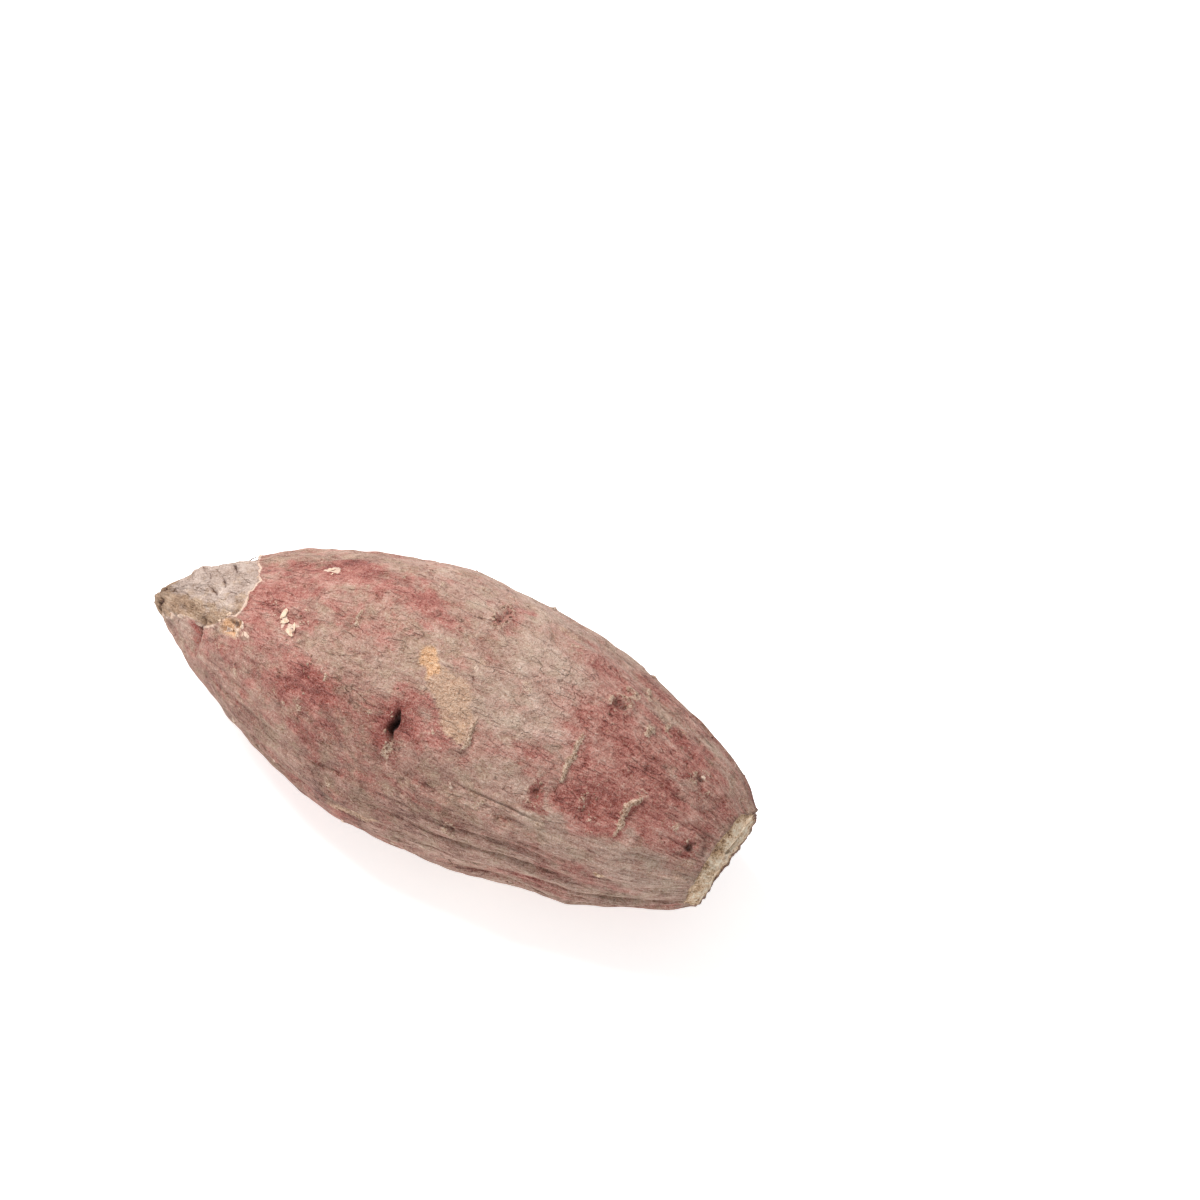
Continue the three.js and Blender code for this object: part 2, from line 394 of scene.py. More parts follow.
# Corky scars: raised pale ridges across the root where the skin has split and healed. Place, degrees, half
# length, half width, slant, height.
SCARS = [
    (97, 36, 4.3, 0.6, 0, 0.5), (119, 25, 5.6, 0.7, 0, 0.5), (133, 37, 4.9, 0.8, -5, 0.55),
    (129, -9, 2.1, 0.8, 5, 0.6), (131, -20, 1.6, 0.5, 0, 0.3), (124, -33, 3.0, 0.45, 20, 0.25),
    (61, 10, 2.5, 0.45, 15, 0.2), (64, -84, 4.0, 0.7, 0, 0.45), (92, -64, 3.2, 0.6, 6, 0.4),
    (110, -98, 4.4, 0.8, -5, 0.5), (128, -120, 3.4, 0.7, 0, 0.4), (46, -112, 3.0, 0.6, 0, 0.35),
    (76, 128, 3.6, 0.7, 4, 0.4), (104, 145, 3.0, 0.6, 0, 0.35), (34, 104, 2.2, 0.5, 0, 0.25),
]
crumble = growth(37, 0.7, 0.7)
for place, degree, half_length, half_width, slant, height in SCARS:
    offsets = from_middle(place, degree, slant, 0.32)
    ridge = patch(offsets, half_length, half_width, 0.45)
    foot = patch(offsets, half_length + 0.8, half_width + 0.7, 0.5) - ridge
    lift += height * ridge * (0.85 + 0.45 * crumble) - 0.12 * foot
    stain("cork", ridge)
    # The groove round each ridge's foot is painted darker: painted shade.
    stain("crease_shade", 0.6 * foot)

# Rubbed places: the thin skin is worn through and the orange flesh under it has dried. Place, degrees, size
# round and along, slant, strength.
SCRAPES = [
    (80, 15, 2.6, 3.2, 0, 1.0), (83, 19, 1.9, 1.8, 0, 0.95), (86, 22, 3.0, 2.6, 0, 0.6),
    (90, 26, 4.4, 4.6, 10, 0.6), (92, 32, 4.4, 4.4, -15, 0.58), (94, 37, 3.2, 2.4, 0, 0.64),
    (103, -33, 1.6, 3.0, 0, 0.4), (74, 97, 0.9, 8.0, 3, 0.55), (133, 76, 0.8, 1.1, 20, 0.8),
    (148, 58, 3.0, 1.6, 0, 0.35), (92, 5, 0.9, 0.9, 0, 0.45), (60, -58, 1.6, 3.0, 0, 0.5),
    (112, -128, 2.0, 3.5, 20, 0.55),
]
for place, degree, size_round, size_along, slant, strength in SCRAPES:
    rubbed = patch(from_middle(place, degree, slant, 0.55), size_round, size_along, 0.28)
    lift -= 0.1 * rubbed
    stain("raw", strength * rubbed)
for name in ("blush", "crease_shade"):
    skin[name] *= 1 - 0.75 * skin["raw"]

# The crown. The vine has been torn off, taking a cap of skin with it: grey cork is bare from the tip to a
# ragged edge, where the skin stands up pale and dry. The edge lies furthest along over the top, comes down
# the front in a slant and steps back towards the tip at the notch. Degrees, and how far along.
TORN_EDGE = [
    (-180, 8), (-100, 18), (-40, 22), (-10, 27), (0, 30), (25, 30), (40, 23), (49, 20), (51, 12),
    (65, 6), (90, 3), (130, 3), (180, 8),
]
edge_points = []
EDGE_STEPS = 36  # between two points of the edge
for (from_degree, from_place), (to_degree, to_place) in zip(TORN_EDGE, TORN_EDGE[1:]):
    for share in np.linspace(0, 1, EDGE_STEPS, endpoint=False):
        edge_points.append((from_degree + share * (to_degree - from_degree),
                            from_place + share * (to_place - from_place)))
edge_points = np.array(edge_points)
CROWN_REACH = 40  # the edge is felt for this far along
near_crown = np.where(along < CROWN_REACH)[0]
edge_degree, edge_place = edge_points[:, 0], edge_points[:, 1]
off_run = along[near_crown, None] - edge_place
off_turn = (degrees[near_crown, None] - edge_degree + 180) % 360 - 180
off_round = np.radians(off_turn) * arc[near_crown, None]
to_edge = np.full(len(turn), 50.0)
to_edge[near_crown] = np.hypot(off_run, off_round).min(axis=1)
edge_at = np.interp(degrees, edge_degree, edge_place)
ragged = 0.35 * growth(41, 1.8, 1.8) + 0.14 * growth(42, 0.6, 0.6)
inside = np.where(along < edge_at, 1.0, -1.0) * to_edge + ragged
bare_cork = ease(-0.15, 0.35, inside)
lip = np.exp(-((inside + 0.3) / 0.36) ** 2)
lift += 0.34 * lip * (0.5 + 0.7 * ease(-1, 1, growth(44, 3.0, 3.0)))
lift -= 0.45 * bare_cork * ease(0, 5, along)
lift += bare_cork * (0.14 * growth(43, 2.6, 1.2) + 0.1 * growth(45, 0.8, 0.7) + 0.3 * growth(46, 5.0, 4.0))
skin["crown"] = bare_cork
skin["torn"] = np.clip(lip * (0.55 + 0.6 * ease(-1.0, 0.6, growth(47, 2.0, 2.0))), 0, 1)
# The cork is checked with fine cracks that run towards the tip, painted darker as painted shade, and a dark
# painted shadow lies under the torn edge, cast by the standing skin.
checks = np.exp(-(growth(48, 2.6, 2.4) / 0.16) ** 2) * ease(-0.2, 1.0, growth(49, 3.0, 5.0)) * bare_cork
lift -= 0.2 * checks
stain("dark", 0.22 * checks)
stain("dark", 0.3 * np.exp(-((inside - 0.45) / 0.35) ** 2))
tan_cork = ease(5.5, 0, along) + 0.72 * ease(14, 42, degrees)
skin["umber_and_shade"] = np.maximum(skin["umber_and_shade"] * (1 - bare_cork), bare_cork * tan_cork)
# Cracks in the bare cork, a knob of old stem, and the split below it. Place, degrees, half length, half
# width, slant, depth.
CRACKS = [
    (17, 11, 3.2, 0.3, 60, 0.9), (19, 3, 2.4, 0.26, 40, 0.7), (20, -17, 3.0, 0.3, 25, 0.9),
    (13, -10, 2.6, 0.26, 50, 0.5), (24, 14, 2.2, 0.24, 80, 0.5), (9, 22, 2.2, 0.26, 75, 0.6),
    (3, 64, 1.6, 0.7, 0, 0.8), (4, -60, 1.6, 0.5, 30, 0.7), (12, -95, 3.0, 0.35, 70, 0.8),
    (8, 150, 2.0, 0.4, 60, 0.6), (16, -70, 2.6, 0.35, 60, 0.7), (1, 10, 1.3, 0.5, 0, 0.6),
]
for place, degree, half_length, half_width, slant, depth in CRACKS:
    crack = patch(from_middle(place, degree, slant, 0.3), half_length, half_width, 0.6)
    lift -= depth * crack
    # Each crack is painted dark: painted shade inside it.
    stain("dark", 0.75 * crack)
knob = patch(from_middle(10, -22, 0, 0.4), 2.0, 2.4, 0.5)
lift += 0.9 * knob
stain("scarlet", 0.35 * knob)
notch = from_middle(20, 53, 12, 0.25)
notch_cut = patch(notch, 3.0, 0.75, 0.6)
lift -= 1.2 * notch_cut + 0.4 * patch(from_middle(19, 62, 10, 0.3), 4.0, 1.2, 0.9)
# The notch is painted dark as painted shade, and the red flush down the groove below it is partly painted
# shadow.
stain("dark", 0.75 * notch_cut)
stain("scarlet", 0.85 * patch(from_middle(19, 59, 12, 0.5), 5.0, 1.7, 0.9))
# The hole under the edge, where the flesh has dried orange-brown behind torn shreds.
hole = from_middle(29, 36, 82, 0.35)
hole_cut = patch(hole, 3.7, 1.8, 0.45)
lift += 0.25 * patch(hole, 4.8, 2.3, 0.6) - 1.5 * hole_cut * (0.8 + 0.25 * crumble)
stain("raw", patch(hole, 4.2, 2.3, 0.4))
# Its inside is painted dark: painted shade in the hole.
stain("dark", 0.62 * hole_cut * ease(-1.2, 1.0, crumble))
# Pale scabs and shreds of dry skin: place, degrees, half length, half width, slant, height.
SCABS = [
    (43, 20, 1.1, 1.1, 0, 0.14), (44, 23, 1.4, 0.6, 0, 0.14), (46, 27, 1.2, 1.1, 40, 0.14),
    (47, 25, 0.7, 1.4, -20, 0.14), (46, -14, 0.8, 2.4, 8, 0.16), (33, 33, 1.3, 0.5, 60, 0.4),
    (32, 38, 1.4, 0.45, 80, 0.35), (28, 39, 1.4, 0.4, 100, 0.35), (35, 37, 0.6, 0.6, 20, 0.3),
    (97, 60, 0.8, 0.6, 0, 0.35), (49, 100, 0.7, 0.5, 0, 0.35), (142, -8, 0.7, 0.45, 0, 0.3),
    (92, 8, 0.6, 0.6, 0, 0.2), (50, -98, 1.6, 0.8, 10, 0.4), (88, -100, 1.2, 0.9, 0, 0.35),
    (118, -85, 1.5, 0.6, 40, 0.35), (70, 112, 1.0, 0.7, 0, 0.3), (36, -60, 1.1, 0.8, 0, 0.3),
]
for place, degree, half_length, half_width, slant, height in SCABS:
    scab = patch(from_middle(place, degree, slant, 0.45), half_length, half_width, 0.3)
    lift += height * scab
    stain("torn", scab)

# The cut tail: a slice straight across, long dried. The skin ends in a thin dark edge and has drawn back
# from the cut, and the cream flesh is dirty, a little hollow in the middle and rough from the knife.
FRONT_EDGE = 151.5  # over the front the skin ends short of the face
FAR_EDGE = 154.3  # and round the back and the belly it runs to the face's rim
FACE_RADIUS = 13  # from the face's rim to its middle
short_of_face = ease(-45, 0, degrees) * ease(145, 100, degrees)
cut_edge = FAR_EDGE - (FAR_EDGE - FRONT_EDGE) * short_of_face
cut_edge += 0.1 * growth(51, 1.0, 1.6) + 0.12 * growth(52, 1.0, 5.0)
past_edge = along - cut_edge + FACE_RADIUS * end_share
on_flesh = ease(-0.12, 0.22, past_edge)
skin["flesh"] = on_flesh
bundle_ring = np.exp(-((end_share - 0.2 - 0.012 * growth(54, 2.0, 6.0)) / 0.022) ** 2)
dirty_flesh = 0.9 * np.exp(-(past_edge / 0.9) ** 2) + 0.55 * bundle_ring
skin["umber_and_shade"] = np.where(on_flesh > 0.5, dirty_flesh, skin["umber_and_shade"])
lift -= 0.12 * bundle_ring * on_flesh
skin_edge = np.exp(-((past_edge + 0.25) / 0.4) ** 2)
lift += 0.3 * skin_edge - 0.28 * on_flesh
face_spot = bare[:, 1:] * 0.9
sawn = np.sin(face_spot[:, 0] * 1.7 + 2.0 * np.sin(face_spot[:, 1] * 0.45))
face_rough = sawn * np.cos(face_spot[:, 1] * 0.8)
lift += ease(0.02, 0.12, end_share) * (0.1 * face_rough - 0.9 * ease(0.15, 1.0, end_share))
for name in ("blush", "crease_shade", "dark", "cork", "scarlet", "raw"):
    skin[name] *= 1 - on_flesh
# The skin's edge is a thin dark line, darker round the back and the belly: painted shadow of the rolled far
# rim, over the edge's own dark colour.
cut_line = np.exp(-((past_edge - 0.08) / 0.28) ** 2)
stain("dark", (0.22 + 0.48 * ease(152.5, 154, cut_edge)) * cut_line)
lift *= np.where(inward < 0, 1 - 0.5 * end_share, 1.0)

# Small specks all over: pinhead pores, some sunk and brown, some raised and pale.
SPECKS = 170
SUNK_SHARE = 0.65
scatter = np.random.default_rng(71)
for _ in range(SPECKS):
    place, degree = scatter.uniform(12, 150), scatter.uniform(-180, 180)
    size, flat = scatter.uniform(0.25, 0.75), scatter.uniform(1.0, 2.6)
    turned, sunk = scatter.uniform(-35, 35), scatter.random() < SUNK_SHARE
    speck = patch(from_middle(place, degree, turned, 0.15), size * flat, size, 0.5)
    speck = speck * (1 - bare_cork) * (1 - on_flesh)
    lift += (-0.16 if sunk else 0.2) * speck
    stain("dark" if sunk else "cork", (0.42 if sunk else 0.62) * speck)

# Healed pores: low round blisters, cracked all round. Place, degrees, radius, height.
BLISTERS = [
    (38, 14, 1.9, 0.22), (48, 14, 1.1, 0.25), (50, 30, 1.0, 0.22), (65, -27, 2.6, 0.3),
    (73, 14, 1.5, 0.16), (35, -8, 1.2, 0.18), (28, 52, 1.3, 0.2), (104, 6, 1.6, 0.18),
    (112, -8, 1.3, 0.2), (92, 62, 1.5, 0.22), (138, 12, 1.2, 0.2), (120, 70, 1.5, 0.22),
    (66, -60, 2.0, 0.25), (90, -82, 1.7, 0.25), (116, -110, 1.8, 0.22), (42, -130, 1.6, 0.2),
    (80, -160, 1.8, 0.2), (60, 150, 1.6, 0.2), (130, 150, 1.4, 0.2), (100, -50, 1.4, 0.2),
]
for place, degree, size, height in BLISTERS:
    offsets = from_middle(place, degree, 0, 0.35)
    dome, outer = patch(offsets, size, size, 0.35), patch(offsets, size + 0.45, size + 0.45, 0.35)
    lift += height * dome * (0.8 + 0.3 * crumble) - 0.22 * (outer - dome)
    # The crack round each blister is painted darker: painted shade.
    stain("crease_shade", outer - dome)
    stain("cork", 0.3 * dome * ease(-0.5, 1.0, crumble))

# Dust and soil lie thicker on some sides than others.
skin["dust"] = np.clip(0.45 + 0.3 * growth(61, 16.0, 12.0) - 0.6 * skin["blush"]
                       + 0.35 * patch(from_middle(104, 2, 0, 3), 16, 17, 0.7), 0, 1)

points = bare + lift[:, None] * facing
points[:, 2] = np.maximum(points[:, 2], 0.0)

body = bpy.data.meshes.new("whole_root")
body.from_pydata((points * MM).tolist(), [], faces)
for name, values in skin.items():
    layer = body.attributes.new(name, "FLOAT", "POINT")
    layer.data.foreach_set("value", np.clip(values, 0.0, 1.0).astype(np.float32))
# Where each point lies on a root of even girth, so that streaks in the skin draw together at both ends.
laid_out = np.stack([along, BELLY_RADIUS * np.cos(turn), BELLY_RADIUS * np.sin(turn)], axis=1)
layer = body.attributes.new("laid_out", "FLOAT_VECTOR", "POINT")
layer.data.foreach_set("vector", laid_out.astype(np.float32).ravel())
body.polygons.foreach_set("use_smooth", [True] * len(body.polygons))
body.update()
whole_root = bpy.data.objects.new("whole_root", body)
bpy.context.collection.objects.link(whole_root)

# The skin's look: matte and dusty, taupe over pink, finely speckled, with thin lengthwise streaks. Corky
# places are drier and paler, the rubbed places orange, and the cut flesh cream.
skin_look = bpy.data.materials.new("root_skin")
skin_look.use_nodes = True
nodes, links = skin_look.node_tree.nodes, skin_look.node_tree.links
surface = nodes["Principled BSDF"]


def add(kind, settings=None, **inputs):
    """One node, with its settings and inputs; an input that is another node's output is linked."""
    made = nodes.new("ShaderNode" + kind)
    for key, value in (settings or {}).items():
        setattr(made, key, value)
    for key, value in inputs.items():
        name = int(key[1:]) if key[0] == "n" and key[1:].isdigit() else key.replace("_", " ")
        if isinstance(value, bpy.types.NodeSocket):
            links.new(value, made.inputs[name])
        else:
            made.inputs[name].default_value = value
    return made


def mask(name):
    return add("Attribute", {"attribute_name": name}).outputs["Fac"]


def reckon(how, first, second=0.0, clamp=False):
    return add("Math", {"operation": how, "use_clamp": clamp}, n0=first, n1=second).outputs[0]


def spread(value, low_in, high_in, low_out=0.0, high_out=1.0):
    return add("MapRange", {"interpolation_type": "SMOOTHSTEP"}, Value=value,
               From_Min=low_in, From_Max=high_in, To_Min=low_out, To_Max=high_out).outputs[0]


def mix(share, under, over, how="MIX"):
    made = add("Mix", {"data_type": "RGBA", "blend_type": how, "clamp_result": True}, n0=share)
    for place, value in ((6, under), (7, over)):
        if isinstance(value, bpy.types.NodeSocket):
            links.new(value, made.inputs[place])
        else:
            made.inputs[place].default_value = (*value, 1.0)
    return made.outputs[2]


millimetres = add("VectorMath", {"operation": "SCALE"}, n0=add("TexCoord").outputs["Object"],
                  Scale=1000.0).outputs[0]
along_skin = add("Attribute", {"attribute_name": "laid_out"}).outputs["Vector"]


def grain(size, stretch=1.0, detail=2.0, where=None, roughness=0.55, shift=0.0):
    """Cloudy noise of a size in millimetres, drawn out along the root by stretch."""
    at = add("VectorMath", {"operation": "MULTIPLY_ADD"}, n0=where or millimetres,
             n1=(1 / (size * stretch), 1 / size, 1 / size), n2=(shift, shift, shift)).outputs[0]
    return add("TexNoise", Vector=at, Scale=1.0, Detail=detail, Roughness=roughness).outputs["Fac"]


def ramp(value, stops):
    """A colour for each value, through stops of value and colour."""
    made = add("ValToRGB", n0=value)
    elements = made.color_ramp.elements
    elements.remove(elements[1])
    elements[0].position, elements[0].color = stops[0][0], (*stops[0][1], 1.0)
    for place, shade in stops[1:]:
        elements.new(place).color = (*shade, 1.0)
    return made.outputs["Color"]


def total(start, *terms):
    """A sum of a start value and terms of (socket, middle, weight), each counted from its middle."""
    for value, middle, weight in terms:
        start = add("Math", {"operation": "MULTIPLY_ADD"}, n0=value, n1=weight, n2=start).outputs[0]
        start = reckon("SUBTRACT", start, middle * weight) if middle else start
    return start


clouds = grain(13, 1.5, 3)
mottle = grain(3.6, 1.4, 3, shift=3.1)
blotch = grain(1.5, 1.3, 3, shift=5.7)
speckle = grain(0.5, 1.2, 3, roughness=0.7, shift=9.2)
pepper = grain(0.27, 1.0, 2, roughness=0.75, shift=14.6)
flush = grain(3.2, 1.4, 4, roughness=0.65, shift=17.3)
sallow = grain(4.2, 1.3, 4, roughness=0.68, shift=47.1)
tint = grain(0.75, 1.2, 3, roughness=0.7, shift=25.9)
streak = grain(0.8, 6, 4, where=along_skin, shift=2.4)
fine_streak = grain(0.42, 5, 3, where=along_skin, shift=7.7)
drawn_streak = reckon("MULTIPLY", streak, reckon("ADD", mask("drawn"), 0.25))


def lines(noise, width):
    """Thin branching lines, 1 along their middles, where a noise passes through its middle value."""
    return spread(reckon("ABSOLUTE", reckon("SUBTRACT", noise, 0.5)), width, 0.0)


wrinkles = reckon("MULTIPLY", lines(grain(4.6, 2.2, 2.0, where=along_skin, shift=61.0), 0.02),
                  spread(grain(6.0, shift=71.0), 0.42, 0.6))
fine_wrinkles = reckon("MULTIPLY", lines(grain(2.2, 2.4, 1.5, where=along_skin, shift=63.0), 0.03),
                       spread(grain(4.0, shift=73.0), 0.42, 0.6))
long_wrinkles = reckon("MULTIPLY", lines(grain(2.9, 8, 1.0, where=along_skin, shift=67.0), 0.036),
                       spread(mask("drawn"), 0.15, 0.75))
creased = total(0.0, (wrinkles, 0.0, 0.75), (fine_wrinkles, 0.0, 0.5), (long_wrinkles, 0.0, 0.55))

# How light or dark the skin is, from broad clouds down to fine speckle. Part of it is painted shade: the
# same noises raise the bump below, so its dents are painted darker, and so are creases, wrinkles and
# streak grooves.
tone = total(0.556, (clouds, 0.5, 0.42), (mottle, 0.5, 0.55), (blotch, 0.5, 0.46), (speckle, 0.5, 0.62),
             (pepper, 0.5, 0.45), (fine_streak, 0.5, 0.34), (mask("dust"), 0.3, 0.16),
             (mask("umber_and_shade"), 0.0, -0.17), (mask("blush"), 0.4, -0.09), (mask("crease_shade"), 0.0, -0.13),
             (creased, 0.0, -0.13))
tone = total(tone, (spread(streak, 0.52, 0.6), 0.0, -0.05),
             (reckon("MULTIPLY", spread(streak, 0.5, 0.6), mask("drawn")), 0.0, -0.05))
TAUPE = [(0.0, (0.098, 0.042, 0.03)), (0.22, (0.212, 0.104, 0.077)), (0.42, (0.35, 0.194, 0.152)),
         (0.58, (0.45, 0.278, 0.22)), (0.76, (0.545, 0.37, 0.298)), (1.0, (0.7, 0.55, 0.465))]
SALLOW = [(0.0, (0.085, 0.05, 0.03)), (0.22, (0.195, 0.12, 0.078)), (0.42, (0.325, 0.214, 0.148)),
          (0.58, (0.425, 0.3, 0.215)), (0.76, (0.52, 0.395, 0.295)), (1.0, (0.68, 0.56, 0.45))]
ROSE = [(0.0, (0.105, 0.026, 0.021)), (0.22, (0.235, 0.068, 0.055)), (0.42, (0.385, 0.142, 0.115)),
        (0.58, (0.495, 0.225, 0.185)), (0.76, (0.59, 0.335, 0.28)), (1.0, (0.71, 0.53, 0.45))]
DUSTED = [(0.0, (0.12, 0.075, 0.055)), (0.42, (0.345, 0.235, 0.185)), (0.76, (0.54, 0.41, 0.335)),
          (1.0, (0.7, 0.58, 0.5))]
SCARLET = [(0.0, (0.06, 0.012, 0.01)), (0.4, (0.22, 0.052, 0.042)), (0.7, (0.36, 0.125, 0.1)),
           (1.0, (0.5, 0.3, 0.23))]
OLIVE = (0.29, 0.25, 0.15)
colour = ramp(tone, TAUPE)
sallow_skin = ramp(tone, SALLOW)
rose = ramp(tone, ROSE)
colour = mix(spread(total(sallow, (tint, 0.5, 0.25)), 0.44, 0.62, 0, 0.65), colour, sallow_skin)
blush = total(mask("blush"), (flush, 0.5, 1.9), (blotch, 0.5, 0.7), (tint, 0.5, 0.6))
colour = mix(spread(blush, 0.02, 0.8, 0, 0.95), colour, rose)
colour = mix(spread(tint, 0.58, 0.68, 0, 0.28), colour, OLIVE)
dusty = total(mask("dust"), (mottle, 0.5, 0.8), (blotch, 0.5, 0.6))
colour = mix(spread(dusty, 0.25, 0.95, 0, 0.34), colour, ramp(tone, DUSTED))
scarlet = total(mask("scarlet"), (flush, 0.5, 1.0), (tint, 0.5, 1.0))
colour = mix(spread(scarlet, 0.1, 0.9, 0, 0.85), colour, ramp(tone, SCARLET))

# Where the skin is rubbed through: tan, and orange where it is rubbed deepest.
RUBBED_TAN = [(0.2, (0.36, 0.21, 0.135)), (0.5, (0.545, 0.345, 0.235)), (0.8, (0.65, 0.47, 0.35))]
RUBBED_ORANGE = [(0.2, (0.47, 0.235, 0.115)), (0.5, (0.735, 0.42, 0.23)), (0.8, (0.84, 0.58, 0.37))]
raw_tone = total(0.5, (speckle, 0.5, 1.2), (pepper, 0.5, 1.2), (blotch, 0.5, 0.5))
raw_colour = mix(spread(total(mask("raw"), (blotch, 0.5, 0.6)), 0.62, 0.95),
                 ramp(raw_tone, RUBBED_TAN), ramp(raw_tone, RUBBED_ORANGE))
raw_colour = mix(spread(tint, 0.54, 0.64, 0, 0.35), raw_colour, (0.42, 0.3, 0.23))
rubbed = total(mask("raw"), (blotch, 0.5, 0.6), (tint, 0.5, 0.9), (speckle, 0.5, 0.5))
colour = mix(spread(rubbed, 0.15, 0.62, 0, 0.9), colour, raw_colour)

# Scars, rims and lumps of cork.
CORK = [(0.3, (0.195, 0.11, 0.072)), (0.47, (0.415, 0.265, 0.185)), (0.58, (0.56, 0.39, 0.285)),
        (0.75, (0.69, 0.53, 0.41))]
cork_tone = total(0.54, (grain(0.8, 1.0, 4, roughness=0.7, shift=21.0), 0.5, 1.3), (pepper, 0.5, 1.0))
corky = total(mask("cork"), (speckle, 0.5, 1.6), (blotch, 0.5, 1.0), (tint, 0.5, 0.6))
colour = mix(spread(corky, 0.22, 0.6, 0, 0.95), colour, ramp(cork_tone, CORK))

# The bare crown: grey cork, browner at the tip and down the front.
CROWN_GREY = [(0.05, (0.085, 0.052, 0.038)), (0.3, (0.27, 0.18, 0.13)), (0.5, (0.455, 0.332, 0.275)),
              (0.68, (0.615, 0.48, 0.412)), (0.95, (0.74, 0.63, 0.55))]
CROWN_TAN = [(0.05, (0.1, 0.055, 0.033)), (0.45, (0.4, 0.25, 0.155)), (0.8, (0.66, 0.49, 0.35))]
# The crown's wrinkle lines are painted darker: painted shade.
crown_tone = total(0.595, (grain(3.0, 1.8, 4, shift=31.0), 0.5, 0.7),
                   (grain(0.9, 2.2, 4, where=along_skin, roughness=0.7, shift=33.0), 0.5, 0.6),
                   (speckle, 0.5, 0.6), (pepper, 0.5, 0.45), (mask("umber_and_shade"), 0.0, -0.14),
                   (creased, 0.0, -0.24))
crown_colour = ramp(crown_tone, CROWN_GREY)
crown_colour = mix(spread(total(sallow, (mask("umber_and_shade"), 0.0, 0.4)), 0.5, 0.72, 0, 0.85), crown_colour,
                   ramp(crown_tone, CROWN_TAN))
colour = mix(spread(total(mask("crown"), (speckle, 0.5, 0.7)), 0.35, 0.65), colour, crown_colour)

# Torn edges and scabs: cream, freckled tan.
cream_colour = mix(spread(speckle, 0.5, 0.6, 0, 0.45), (0.8, 0.6, 0.48), (0.5, 0.322, 0.222))
colour = mix(spread(total(mask("torn"), (tint, 0.5, 1.0)), 0.35, 0.65), colour, cream_colour)

# The cut flesh.
CREAM_FLESH = [(0.1, (0.17, 0.09, 0.052)), (0.34, (0.45, 0.28, 0.165)), (0.5, (0.66, 0.438, 0.272)),
               (0.66, (0.815, 0.6, 0.412)), (0.9, (0.92, 0.79, 0.62))]
flesh_tone = total(0.68, (mask("umber_and_shade"), 0.0, -0.34), (speckle, 0.5, 1.2), (pepper, 0.5, 0.9),
                   (grain(2.2, 1.0, 4, roughness=0.6, shift=41.0), 0.5, 2.0))
colour = mix(spread(mask("flesh"), 0.35, 0.65), colour, ramp(flesh_tone, CREAM_FLESH))

# Holes, pits and cracks go nearly black, mostly painted shade deep in the recesses.
darkness = total(mask("dark"), (speckle, 0.5, 0.9), (blotch, 0.5, 0.6))
colour = mix(spread(darkness, 0.18, 0.7, 0, 0.8), colour, (0.085, 0.033, 0.022))
colour = mix(spread(darkness, 0.55, 1.1, 0, 0.92), colour, (0.022, 0.012, 0.01))
# Grains of dust and grit, paler and darker than the skin but no redder. They follow the bump's fine noises,
# so they also paint light on the raised grains and shade in the dents.
grit_and_shade = total(0.0, (pepper, 0.5, 0.26), (speckle, 0.5, 0.11))
colour = add("VectorMath", {"operation": "ADD"}, n0=colour, n1=grit_and_shade).outputs[0]
colour = mix(1.0, (0.01, 0.01, 0.01), colour, "LIGHTEN")
links.new(colour, surface.inputs["Base Color"])

dry = spread(reckon("ADD", speckle, mottle), 0.8, 1.2, 0.68, 0.92)
links.new(dry, surface.inputs["Roughness"])
surface.inputs["Specular IOR Level"].default_value = 0.28

rough_cork = reckon("MAXIMUM", reckon("MAXIMUM", mask("crown"), mask("cork")), mask("flesh"))
height = total(0.0, (speckle, 0.5, 0.36), (pepper, 0.5, 0.18), (blotch, 0.5, 0.95), (mottle, 0.5, 1.1),
               (spread(streak, 0.5, 0.62), 0.0, -0.06), (spread(drawn_streak, 0.4, 0.7), 0.0, -0.2),
               (creased, 0.0, -0.34),
               (reckon("MULTIPLY", rough_cork, grain(0.9, 1.6, 4, roughness=0.7, shift=51.0)), 0.0, 0.7))
bump = add("Bump", Strength=1.0, Distance=MM, Height=height)
links.new(bump.outputs["Normal"], surface.inputs["Normal"])

body.materials.append(skin_look)
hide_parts("sweet_potato")
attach(whole_root, "root")


# ------------------------------------------------------------------------------
# Crumbs of dry cork. They stand round the eyes and the pit, where the skin has broken up: hard grains up
# to about a millimetre across, grown half into the skin.
# ------------------------------------------------------------------------------
CRUMB_SIDES = 7
CRUMB_TILTS = (0.16, 0.38, 0.62, 0.84)  # its four rows of points, from its top at 0 to its foot at 1
CRUMB_SIZES = (0.15, 0.46)  # radius
BROWN_SHARE = 0.72
NOT_ON_ENDS = 1000  # keeps a piece off the two end faces


def on_skin(place, degree):
    """The finished skin's point and facing nearest to a place."""
    off_round = arc * ((turn - math.radians(degree) + math.pi) % TURN - math.pi)
    nearest = int(np.argmin((along - place) ** 2 + off_round ** 2 + NOT_ON_ENDS * end_share))
    return points[nearest], facing[nearest]


